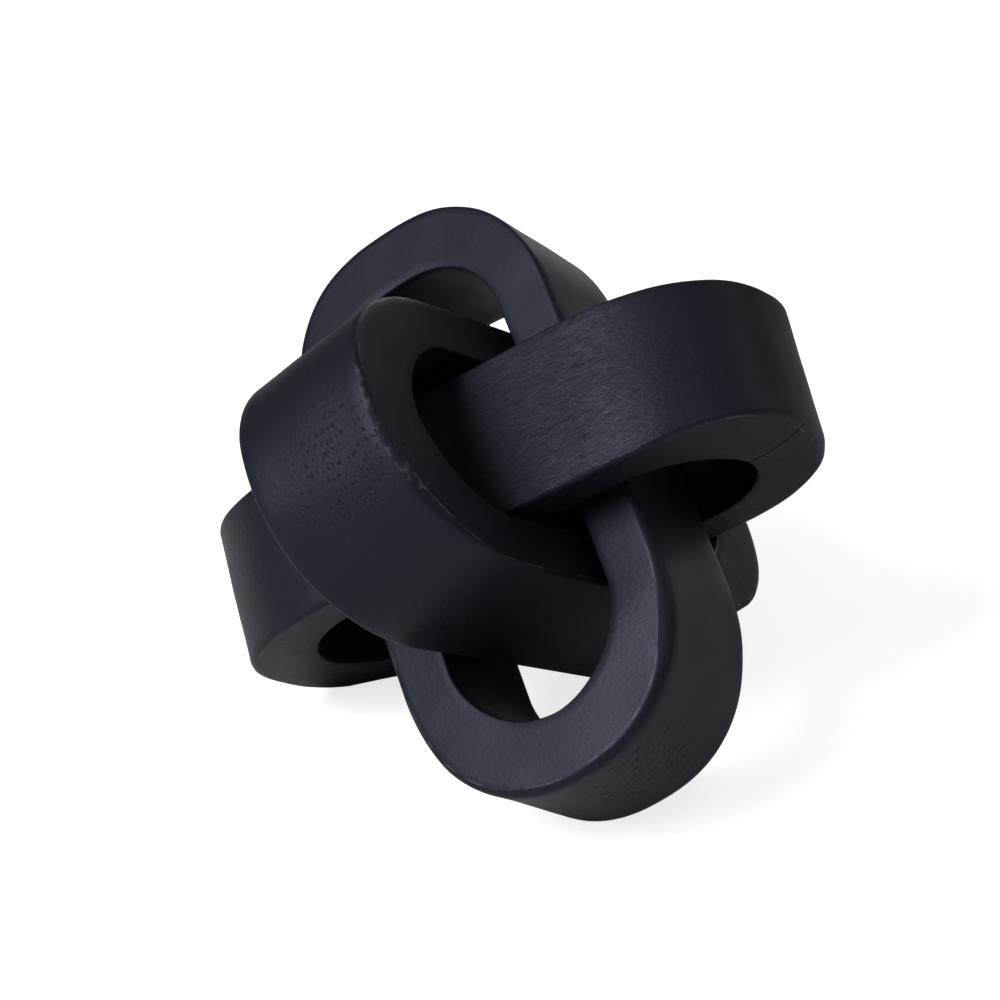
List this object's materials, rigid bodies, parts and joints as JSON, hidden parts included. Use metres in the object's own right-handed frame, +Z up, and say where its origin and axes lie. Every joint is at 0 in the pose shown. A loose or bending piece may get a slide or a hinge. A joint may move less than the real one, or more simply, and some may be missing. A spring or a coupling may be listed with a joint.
{
  "type": "knot sculpture",
  "caption": "Puzzle-knot table sculpture of identical thick oval links, black-stained wood, interlocked so that none can leave and standing on three rounded ends.",
  "frame": {"origin": "on the table under the middle of the knot's outline seen from above", "axes": "+Z up; the side in the picture faces -Y, and the level link's free end points to +X"},
  "size_m": [0.1508, 0.1516, 0.1258],
  "materials": {
    "black_stained_wood": "open-pored wood, black stain, satin",
    "dowel_wood": "raw beech, hidden in the glue joints"
  },
  "bodies": {
    "level_link": {"level_link_upper_half": "black_stained_wood", "level_link_lower_half": "black_stained_wood", "level_link_right_dowel": "dowel_wood", "level_link_left_dowel": "dowel_wood"},
    "front_link": {"front_link_upper_half": "black_stained_wood", "front_link_lower_half": "black_stained_wood", "front_link_front_dowel": "dowel_wood", "front_link_back_dowel": "dowel_wood"},
    "upright_link": {"upright_link_upper_half": "black_stained_wood", "upright_link_lower_half": "black_stained_wood", "upright_link_top_dowel": "dowel_wood", "upright_link_bottom_dowel": "dowel_wood"}
  },
  "joints": [
    {"name": "front_link_slide", "type": "slide", "parent": "level_link", "child": "front_link", "axis": [-0.5795, -0.6092, 0.5414], "range_m": [-0.008, 0.009]},
    {"name": "upright_link_slide", "type": "slide", "parent": "level_link", "child": "upright_link", "axis": [-0.2619, 0.8192, 0.5101], "range_m": [-0.006, 0.01]}
  ]
}
